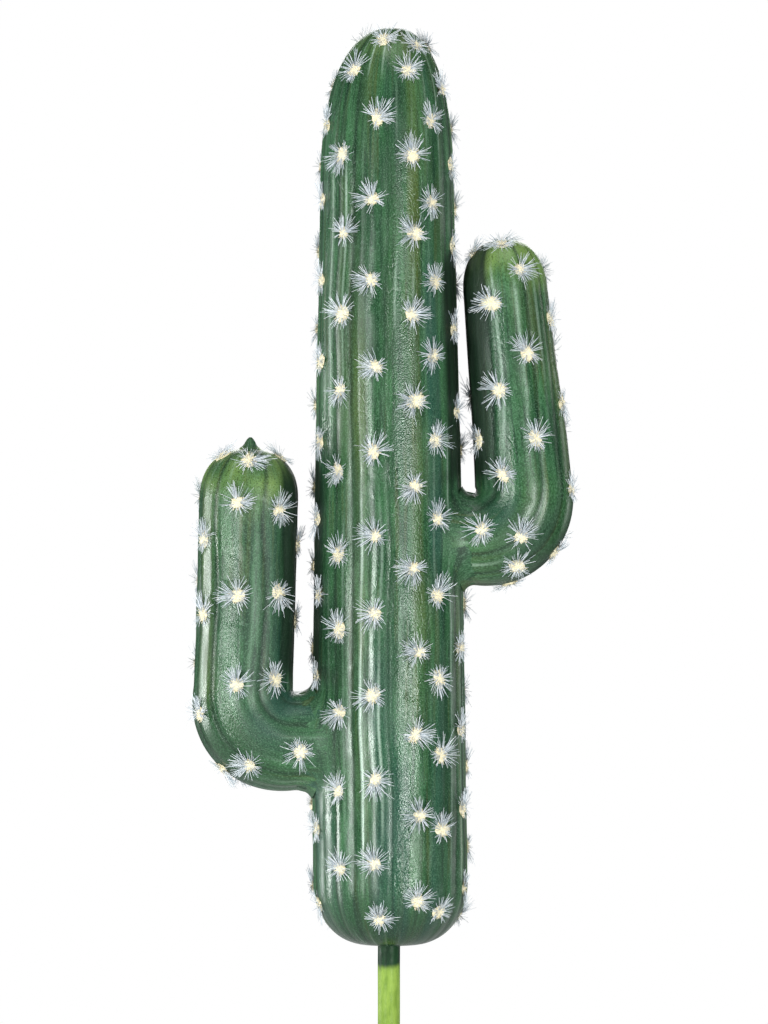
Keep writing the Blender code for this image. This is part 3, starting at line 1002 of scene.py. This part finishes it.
def chosen_places(limb, places, others, taken, chance):
    """Places whose tufts neither crowd one another nor touch another limb."""
    for along, angle in places:
        place, normal = limb.seat(along, angle, limb.source_point)
        tips, reaches = spike_tips(place, normal, chance)
        crowded = any(np.linalg.norm(place - spot) < TUFT_SPACING for spot in taken)
        gaps = (other.distance_by_steps(tip) for tip in tips for other in others)
        if crowded or any(gap <= TUFT_CLEARANCE for gap in gaps):
            continue
        taken.append(place)
        yield limb, along, angle, max(reaches) / TUFT_REACH


def all_tufts(trunk, arms):
    """Every tuft as (limb, distance along, angle, size), in the source's order of chances."""
    chance = random.Random(TUFT_SEED)
    places = list(trunk_places(trunk, chance))
    tufts = list(chosen_places(trunk, places, list(arms.values()), [], chance))
    extra = random.Random(TUFT_SEED + 1)
    for which, arm in arms.items():
        places = list(arm_places(which, arm, chance))
        past = [arm.past_split(arm.source_point(*place)) for place in places]
        upper = [place for place, gap in zip(places, past) if gap > TUFT_SPLIT_MARGIN]
        lower = [place for place, gap in zip(places, past) if gap < -TUFT_SPLIT_MARGIN]
        between = [place for place, gap in zip(places, past) if abs(gap) <= TUFT_SPLIT_MARGIN]
        more = [(arm.tip - below, math.radians(turn)) for below, turn in DOME_TUFTS[which]]
        more += [(along, math.radians(turn)) for along, turn in BEND_TUFTS[which]]
        taken = []
        groups = ((upper, chance), (lower, chance), (between, extra), (more, extra))
        for group, draws in groups:
            tufts += chosen_places(arm, group, [trunk, arm], taken, draws)
    return tufts


def square_way(one, other):
    """Directions of length 1 that are square to two others."""
    way = np.cross(one, other)
    return way / np.linalg.norm(way, axis=-1, keepdims=True)


def make_strands(name, tufts, material):
    """One mesh of bristles. Each goes its way, bends on, and tapers to a tip."""
    roots, ways, bends, radii = (np.concatenate(values) for values in zip(*tufts))
    side = square_way(ways, bends + STRAND_NUDGE)
    share = np.array(STRAND_SHARES)[None, :, None]
    line = roots[:, None] + ways[:, None] * share + bends[:, None] * share**2
    turns = math.tau * np.arange(STRAND_SIDES) / STRAND_SIDES
    rim = around(side[:, None], square_way(ways, side)[:, None], turns)
    thick = radii[:, None, None, None] * (1 - TAPER * share[:, :-1, :, None])
    rings = line[:, :-1, None] + rim[:, None] * thick
    points = np.concatenate([rings.reshape(len(roots), -1, 3), line[:, -1:]], axis=1)
    faces = np.concatenate([closed_faces(rings.shape[1], STRAND_SIDES), [[0, 2, 1]]])
    faces = repeated(faces, points.shape[1], len(roots))
    new_piece(name, points, faces, material)


def clumped_turns(sweep, chance):
    """Directions of a tuft's bristles round it, in clumps, with more of them on the swept side."""
    clumps = chance.uniform(-math.pi, math.pi, BRISTLE_CLUMPS)
    clumps = clumps - SWEEP_LEAN * np.sin(clumps)
    picked = chance.integers(0, BRISTLE_CLUMPS, BRISTLES)
    return sweep + clumps[picked] + chance.normal(0.0, CLUMP_SPREAD, BRISTLES)


def add_bristles(strands, seat, size, core, chance):
    """The white bristles of one tuft, shared out between two colours."""
    place, normal = seat
    across, over = across_and_over(normal)
    sweep = SWEEP_TURN + chance.normal(0.0, SWEEP_SPREAD)
    turns = clumped_turns(sweep, chance)
    ways = around(across, over, turns)
    lengths = chance.uniform(*BRISTLE_LENGTH, BRISTLES) * size
    lengths = lengths * (1 + SWEEP_LENGTH * np.cos(turns - sweep))
    rise = chance.uniform(*BRISTLE_RISE, BRISTLES)
    roots = place + ways * chance.uniform(*BRISTLE_ROOT, BRISTLES)[:, None] * core
    roots = roots + normal * chance.uniform(0.0, CORE_HEIGHT, BRISTLES)[:, None]
    side = np.cross(normal, ways)
    ways = ways + side * np.tan(chance.normal(0.0, BRISTLE_CROSS, BRISTLES))[:, None]
    aims = around(ways, normal, rise)
    curl = chance.normal(0.0, BRISTLE_BEND, BRISTLES)[:, None]
    droop = chance.uniform(*BRISTLE_DROOP, BRISTLES)[:, None]
    bends = (side * curl + normal * droop) * lengths[:, None]
    radii = chance.uniform(*BRISTLE_RADIUS, BRISTLES)
    grey = chance.random(BRISTLES) < GREY_SHARE
    shapes = (roots, aims * lengths[:, None], bends, radii)
    for kind, chosen in (("white", ~grey), ("grey", grey)):
        strands[kind].append([values[chosen] for values in shapes])


def add_stubs(strands, seat, core, stretch, chance):
    """The short cut bristles that fill a tuft's core."""
    place, normal = seat
    across, over = stretched_axes(normal, stretch)
    turns = chance.uniform(0, math.tau, STUBS)
    out = np.sqrt(chance.random(STUBS))
    ways = around(across, over, turns)
    roots = place + ways * (out * core)[:, None]
    tilt = out * STUB_TILT + chance.normal(0.0, STUB_TILT_SPREAD, STUBS)
    aims = around(normal, ways, tilt)
    lengths = chance.uniform(*STUB_LENGTH, STUBS) * (1 - STUB_SHORTER * out)
    bends = ways * STUB_BEND * lengths[:, None]
    radii = chance.uniform(*STUB_RADIUS, STUBS)
    strands["cream"].append([roots, aims * lengths[:, None], bends, radii])


def stretched_axes(normal, stretch):
    """Directions along the skin that make an oval: how much longer it is, and which way."""
    across, over = across_and_over(normal)
    longer, turn = stretch
    one = across * math.cos(turn) + over * math.sin(turn)
    return one * longer, np.cross(normal, one)


def core_points(seat, core, stretch, chance):
    """A low lumpy mound under a tuft's stubs: rings from its rim to its top, and its top."""
    place, normal = seat
    across, over = stretched_axes(normal, stretch)
    way = around(across, over, np.linspace(0, math.tau, CORE_SIDES, endpoint=False))
    rings = []
    for ring in range(CORE_RINGS):
        rise = math.pi / 2 * ring / CORE_RINGS
        wobble = chance.uniform(*CORE_WOBBLE, CORE_SIDES)
        out = core * math.cos(rise) * wobble
        up = CORE_HEIGHT * math.sin(rise) * wobble - CORE_SUNK * (ring == 0)
        rings.append(place + way * out[:, None] + normal * up[:, None])
    return np.vstack(rings + [[place + normal * CORE_HEIGHT]])


def make_tufts(tufts, materials):
    chance = np.random.default_rng(TUFT_SEED)
    strands = {"white": [], "grey": [], "cream": []}
    cores = []
    for limb, along, angle, size in tufts:
        seat = limb.seat(along, angle, limb.fine_place)
        core = chance.uniform(*CORE_RADIUS)
        stretch = chance.uniform(*CORE_STRETCH), chance.uniform(0, math.pi)
        add_bristles(strands, seat, size, core / CORE_RADIUS[1], chance)
        add_stubs(strands, seat, core, stretch, chance)
        cores.append(core_points(seat, core, stretch, chance))
    for kind, parts in strands.items():
        make_strands(f"bristles_{kind}", parts, materials[f"bristle_{kind}"])
    faces = repeated(closed_faces(CORE_RINGS, CORE_SIDES), len(cores[0]), len(cores))
    new_piece("tuft_cores", cores, faces, materials["tuft_core"])


class Shader:
    """A Principled material, with short ways to add the nodes that it needs."""

    def __init__(self, name):
        self.material = bpy.data.materials.new(name)
        self.material.use_nodes = True
        self.tree = self.material.node_tree
        self.surface = self.tree.nodes["Principled BSDF"]

    def feed(self, node, inputs):
        for name, value in inputs.items():
            if isinstance(value, bpy.types.NodeSocket):
                self.tree.links.new(value, node.inputs[name])
            else:
                node.inputs[name].default_value = value

    def node(self, kind, settings, inputs):
        made = self.tree.nodes.new(kind)
        for name, value in settings.items():
            setattr(made, name, value)
        self.feed(made, inputs)
        return made

    def attribute(self, name, output="Fac"):
        return self.node("ShaderNodeAttribute", {"attribute_name": name}, {}).outputs[output]

    def coordinates(self):
        return self.node("ShaderNodeTexCoord", {}, {}).outputs["Object"]

    def paced(self, vector, pace):
        """Coordinates whose third direction changes at this pace, for drawn-out patterns."""
        inputs = {0: vector, 1: (1.0, 1.0, pace)}
        return self.node("ShaderNodeVectorMath", {"operation": "MULTIPLY"}, inputs).outputs[0]

    def noise(self, vector, size, detail=3.0, roughness=0.55, pace=None):
        """Noise from about 0.25 to 0.75. Size is in metres, and pace as paced() takes it."""
        vector = self.paced(vector, pace) if pace else vector
        inputs = {"Vector": vector, "Scale": 1.0 / size, "Detail": detail, "Roughness": roughness}
        return self.node("ShaderNodeTexNoise", {}, inputs).outputs["Fac"]

    def cells(self, vector, size):
        inputs = {"Vector": vector, "Scale": 1.0 / size}
        settings = {"feature": "DISTANCE_TO_EDGE"}
        return self.node("ShaderNodeTexVoronoi", settings, inputs).outputs["Distance"]

    def ramp(self, value, low, high, most=1.0, least=0.0):
        """From least to most as the value goes from low to high, and no further."""
        ends = {"From Min": low, "From Max": high, "To Min": least, "To Max": most}
        settings = {"interpolation_type": "SMOOTHSTEP"}
        return self.node("ShaderNodeMapRange", settings, {"Value": value, **ends}).outputs["Result"]

    def maths(self, operation, *values):
        inputs = dict(enumerate(values))
        return self.node("ShaderNodeMath", {"operation": operation}, inputs).outputs[0]

    def mix(self, share, one, other):
        inputs = {0: share, 6: one, 7: other}
        return self.node("ShaderNodeMix", {"data_type": "RGBA"}, inputs).outputs[2]

    def painted_crest_highlight(self, name, broken):
        """A painted highlight along a rib's crest, as a thin line that comes and goes."""
        crest = self.attribute(name, "Vector")
        side, ahead, crest_highlight_share = self.node("ShaderNodeSeparateXYZ", {}, {0: crest}).outputs
        off = self.maths("ABSOLUTE", self.maths("ARCTAN2", side, ahead))
        line = self.maths("MULTIPLY", self.ramp(off, CREST_LINE, 0.0), crest_highlight_share)
        return self.maths("MULTIPLY", line, self.ramp(broken, 0.30, 0.55, 0.9, 0.5))

    def bump(self, height, distance, strength, **normal):
        inputs = {"Height": height, "Distance": distance, "Strength": strength, **normal}
        return self.node("ShaderNodeBump", {}, inputs).outputs["Normal"]

    def finish(self, inputs):
        self.feed(self.surface, inputs)
        return self.material


def rgb(*colour):
    """A colour given as screen values from 0 to 255."""
    shares = (value / 255 for value in colour)
    linear = (s / 12.92 if s <= 0.04 else ((s + 0.055) / 1.055) ** 2.4 for s in shares)
    return (*linear, 1.0)


def skin_material():
    """Satin moulded skin: green streaks along the ribs, painted shade in creases and gaps, painted
    crest highlights, ripe tips, and fine grain with painted glints.
    """
    shade = Shader("moulded_skin")
    flow = shade.attribute("flow", "Vector")
    names = ("crease", "tint", "tip", "shade", "dull", "grain", "streaked")
    crease, tint, tip, dark, dull, grainy, streaked = (shade.attribute(name) for name in names)
    streaks = shade.noise(flow, 0.0014, 3.0, 0.6, pace=0.07)
    bands = shade.noise(flow, 0.0034, 2.0, pace=0.04)
    clouds = shade.noise(flow, 0.012, 5.0, 0.6, pace=0.45)
    veins = shade.noise(flow, 0.0024, 2.0, 0.6, pace=0.04)
    grain = shade.noise(flow, 0.0004, 0.0)
    green = shade.mix(shade.ramp(clouds, 0.32, 0.68), rgb(26, 65, 39), rgb(50, 97, 59))
    # In turn: bands, streaks, veins, olive and blue-green ribs, ripe tips, painted shade in the
    # creases, painted highlights on the crests, pale grain with painted glints, dark grain, and
    # painted shade
    layers = (
        (shade.maths("MULTIPLY", shade.ramp(bands, 0.52, 0.60, 0.35), streaked), (68, 112, 77)),
        (shade.maths("MULTIPLY", shade.ramp(streaks, 0.45, 0.66, 0.75), streaked), (16, 50, 31)),
        (shade.ramp(veins, 0.56, 0.68, 0.5), (68, 80, 38)),
        (shade.ramp(tint, 0.2, 1.3, 0.85), (74, 90, 40)),
        (shade.ramp(tint, -0.3, -1.3, 0.8), (34, 74, 64)),
        (shade.ramp(tip, 0.0, 1.0, 0.85), (124, 154, 78)),
        # painted shade in the creases
        (shade.ramp(crease, 0.35, 1.0, 0.7), (10, 33, 21)),
        # painted highlight along the rib crests
        (shade.painted_crest_highlight("crest", streaks), (168, 192, 174)),
        # pale specks: the skin's own grain, and painted glints as well
        (shade.ramp(grain, 0.58, 0.68, 0.25), (110, 146, 120)),
        (shade.ramp(grain, 0.42, 0.32, 0.5), (10, 34, 22)),
        # painted shade in narrow gaps, on bends and towards the trunk's foot
        (shade.ramp(dark, 0.0, 1.0, 0.85), (5, 27, 14)),
    )
    for share, colour in layers:
        green = shade.mix(share, green, rgb(*colour))
    wear = shade.ramp(shade.noise(flow, 0.004, 4.0, 0.6, pace=0.3), 0.3, 0.7, 0.32, 0.22)
    satin = shade.ramp(shade.noise(flow, 0.007, 2.0, pace=0.4), 0.6, 0.38, 0.10)
    rough = shade.maths("ADD", wear, satin)
    rough = shade.maths("ADD", rough, shade.ramp(dull, 0.0, 1.0, 0.28))
    cracked = shade.ramp(shade.cells(shade.paced(flow, 0.7), 0.0026), 0.0, 0.16)
    patches = shade.ramp(shade.noise(flow, 0.010, 2.0, pace=0.25), 0.5, 0.62)
    cobbles = shade.maths("MULTIPLY", shade.maths("SUBTRACT", cracked, 1.0), patches)
    bumps = shade.bump(cobbles, 0.00008, grainy)
    bumps = shade.bump(streaks, 0.00003, 1.0, Normal=bumps)
    bumps = shade.bump(grain, 0.00009, grainy, Normal=bumps)
    return shade.finish(
        {
            "Base Color": green,
            "Roughness": rough,
            "Normal": bumps,
            "Specular IOR Level": SKIN_SPECULAR,
            "Specular Tint": SKIN_SPECULAR_TINT,
        }
    )


def stem_material():
    """Lime plastic coating, with the body's dark paint run down over its top."""
    shade = Shader("stem_coating")
    spot = shade.coordinates()
    height = shade.node("ShaderNodeSeparateXYZ", {}, {0: spot}).outputs["Z"]
    edge = shade.maths("SUBTRACT", shade.noise(spot, 0.0060, 2.0, pace=0.5), 0.5)
    height = shade.maths("ADD", height, shade.maths("MULTIPLY", edge, 4 * PAINT_EDGE))
    paint_end = STEM_SHOWN - PAINT_RUN
    painted = shade.ramp(height, paint_end - PAINT_FADE, paint_end + PAINT_FADE)
    streak = shade.ramp(shade.noise(spot, 0.0020, 4.0, 0.6, pace=0.3), 0.3, 0.7)
    lime = shade.mix(streak, rgb(106, 138, 46), rgb(138, 168, 70))
    scuffs = shade.ramp(shade.noise(spot, 0.0016, 5.0, 0.7), 0.60, 0.74, 0.3)
    lime = shade.mix(scuffs, lime, rgb(78, 104, 42))
    paint = shade.mix(streak, rgb(8, 40, 20), rgb(24, 62, 32))
    bumps = shade.bump(painted, 0.00010, 0.5)
    return shade.finish(
        {
            "Base Color": shade.mix(painted, lime, paint),
            "Roughness": shade.ramp(shade.noise(spot, 0.003, 4.0), 0.3, 0.7, 0.58, 0.40),
            "Normal": shade.bump(shade.noise(spot, 0.0005, 2.0), 0.00008, 0.6, Normal=bumps),
            "Specular IOR Level": STEM_SPECULAR,
        }
    )


def fibre_material(name, light, dark, size, roughness):
    """Cut plastic fibre, lighter and darker from one bristle to the next."""
    shade = Shader(name)
    spot = shade.coordinates()
    change = shade.ramp(shade.noise(spot, size, 3.0, 0.6), 0.34, 0.66)
    colour = shade.mix(change, rgb(*dark), rgb(*light))
    bumps = shade.bump(shade.noise(spot, size / 4, 2.0), 0.00006, 0.5)
    return shade.finish({"Base Color": colour, "Roughness": roughness, "Normal": bumps})


def make_floor():
    """A round pale floor, just large enough to stay below the camera's frame."""
    mesh = bpy.data.meshes.new("floor")
    rim = level_ways(np.linspace(0, math.tau, FLOOR_SIDES, endpoint=False)) * FLOOR_RADIUS
    mesh.from_pydata(rim.tolist(), [], [list(range(FLOOR_SIDES))])
    floor = bpy.data.objects.new("floor", mesh)
    bpy.context.scene.collection.objects.link(floor)
    shade = Shader("floor")
    mesh.materials.append(shade.finish({"Base Color": rgb(224, 224, 222), "Roughness": 0.85}))
    floor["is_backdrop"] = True


def aim(thing, target):
    thing.rotation_euler = (Vector(target) - thing.location).to_track_quat("-Z", "Y").to_euler()


def softbox(name, azimuth, height, distance, width, length, watts):
    """A soft light, at an azimuth in degrees to the right of the camera, aimed at the cactus."""
    light = bpy.data.lights.new(name, "AREA")
    light.shape = "RECTANGLE"
    light.size, light.size_y = width, length
    light.energy = watts
    thing = bpy.data.objects.new(name, light)
    bpy.context.scene.collection.objects.link(thing)
    turn = math.radians(azimuth)
    thing.location = (distance * math.sin(turn), -distance * math.cos(turn), height)
    aim(thing, LIGHT_TARGET)


def make_world():
    """White to look at, a dimmer soft light all round, and dark in the skin's reflections."""
    world = bpy.data.worlds.new("studio")
    bpy.context.scene.world = world
    world.use_nodes = True
    tree = world.node_tree
    path = tree.nodes.new("ShaderNodeLightPath")
    fill = tree.nodes["Background"]
    fill.inputs["Color"].default_value = FILL_COLOUR
    fill.inputs["Strength"].default_value = FILL_LIGHT
    whole = fill.outputs[0]
    for rays, strength in (("Is Glossy Ray", FILL_REFLECTED), ("Is Camera Ray", 1.0)):
        part = tree.nodes.new("ShaderNodeBackground")
        part.inputs["Color"].default_value = WHITE
        part.inputs["Strength"].default_value = strength
        both = tree.nodes.new("ShaderNodeMixShader")
        tree.links.new(path.outputs[rays], both.inputs[0])
        tree.links.new(whole, both.inputs[1])
        tree.links.new(part.outputs[0], both.inputs[2])
        whole = both.outputs[0]
    tree.links.new(whole, tree.nodes["World Output"].inputs["Surface"])


def make_camera():
    camera = bpy.data.cameras.new("camera")
    camera.sensor_fit = "VERTICAL"
    camera.sensor_height = SENSOR_HEIGHT
    camera.lens = SENSOR_HEIGHT * CAMERA_DISTANCE / VIEW_HEIGHT
    thing = bpy.data.objects.new("camera", camera)
    bpy.context.scene.collection.objects.link(thing)
    thing.location = VIEW_MIDDLE - Vector((0.0, CAMERA_DISTANCE, 0.0))
    aim(thing, VIEW_MIDDLE)
    bpy.context.scene.camera = thing


def prepare_limbs():
    """The trunk and arms, ready to be skinned."""
    trunk = Trunk()
    arms = {which: Arm(which, sizes) for which, sizes in ARMS.items()}
    chance = np.random.default_rng(SKIN_SEED)
    trunk.prepare_relief("trunk", 0.0, chance)
    for number, arm in enumerate(arms.values()):
        arm.prepare_relief("arm", FLOW_SHIFT * (number + 1), chance)
        arm.others = [trunk]
    trunk.others = list(arms.values())
    return trunk, arms


def build():
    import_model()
    cad_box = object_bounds()
    bpy.context.scene.view_settings.view_transform = "Standard"
    make_camera()
    make_world()
    for name, sizes in LIGHTS.items():
        softbox(name, *sizes)
    make_floor()
    skin = skin_material()
    trunk, arms = prepare_limbs()
    make_trunk_skin(trunk, skin)
    for which, arm in arms.items():
        make_arm_skin(which, arm, trunk, skin)
    make_stem(stem_material())
    fibres = {name: fibre_material(name, *looks) for name, looks in FIBRES.items()}
    make_tufts(all_tufts(trunk, arms), fibres)
    boxes = {"cad": cad_box, "visual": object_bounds()}
    {name: [list(corner) for corner in box] for name, box in boxes.items()}


build()
